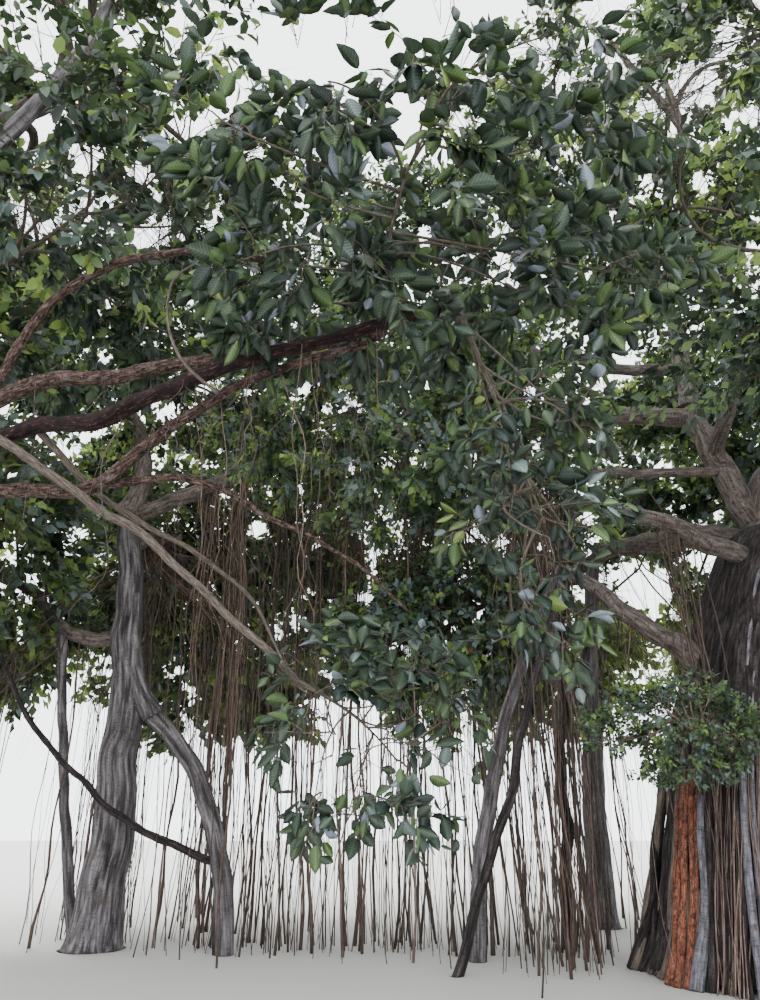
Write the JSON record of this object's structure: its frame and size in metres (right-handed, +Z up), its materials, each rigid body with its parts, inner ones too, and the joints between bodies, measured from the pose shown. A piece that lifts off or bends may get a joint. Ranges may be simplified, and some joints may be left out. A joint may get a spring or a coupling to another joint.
{
  "type": "banyan tree",
  "caption": "Whole rooted banyan: a leaning main trunk of fused aerial roots, pillar roots and props under spreading boughs, hanging root curtains and a broad leafy crown.",
  "frame": {"origin": "middle of the flat cut under the main trunk, at ground level", "axes": "+Z up; +X to the right and +Y away, as seen from the open side of the tree where the near boughs hang low"},
  "size_m": [25.6984, 18.1081, 15.5464],
  "materials": {
    "trunk_bark": "rough, ridged dark grey-brown bark with fused roots",
    "pillar_bark": "smooth, fluted pale lilac-grey bark",
    "bough_bark": "smooth grey-brown bark with cross rings",
    "near_bark": "flaky reddish-brown bark",
    "root_bark": "fibrous pale brown skin of thin roots",
    "leaves": "leathery, glossy dark green leaves with pale undersides"
  },
  "bodies": {
    "root": {"trunk": "trunk_bark", "pillar_left": "pillar_bark", "pillar_near": "pillar_bark", "pillar_right": "pillar_bark", "pillar_back": "pillar_bark", "leader_left": "bough_bark", "leader_right": "bough_bark", "leader_left_top": "bough_bark", "bough_low_left": "bough_bark", "bough_fork_left": "bough_bark", "bough_side_left": "bough_bark", "bough_bridge": "bough_bark", "bough_back": "bough_bark", "bough_right": "bough_bark", "bough_right_front": "bough_bark", "bough_right_back": "bough_bark", "bough_front": "bough_bark", "bough_top_right": "bough_bark", "bough_top_left": "bough_bark", "bough_left_top": "bough_bark", "bough_left_out": "bough_bark", "bough_left_back": "bough_bark", "bough_near_rise": "near_bark", "bough_near_outer": "near_bark", "bough_near_dark": "near_bark", "bough_near_pale": "near_bark", "bough_near_middle": "near_bark", "bough_near_arch": "near_bark", "bough_near_drop": "near_bark", "bough_spur": "bough_bark", "prop_left": "pillar_bark", "prop_left_rear": "pillar_bark", "prop_lean": "root_bark", "prop_grey": "pillar_bark", "prop_dark": "root_bark", "bough_low_dark": "near_bark", "roots_low_left": "root_bark", "roots_bridge_left": "root_bark", "roots_bridge_middle": "root_bark", "roots_right": "root_bark", "foliage_near_high": "leaves", "foliage_near_drape": "leaves", "foliage_near_low": "leaves", "foliage_near_left": "leaves", "foliage_middle": "leaves", "foliage_low": "leaves", "foliage_trunk": "leaves", "foliage_near_crown": "leaves", "foliage_left_front": "leaves", "foliage_left_top": "leaves", "foliage_left_out": "leaves", "foliage_left_back": "leaves", "foliage_back": "leaves", "foliage_top": "leaves", "foliage_top_left": "leaves", "foliage_top_right": "leaves", "foliage_front": "leaves", "foliage_right": "leaves", "foliage_right_front": "leaves", "foliage_right_back": "leaves"}
  },
  "joints": []
}
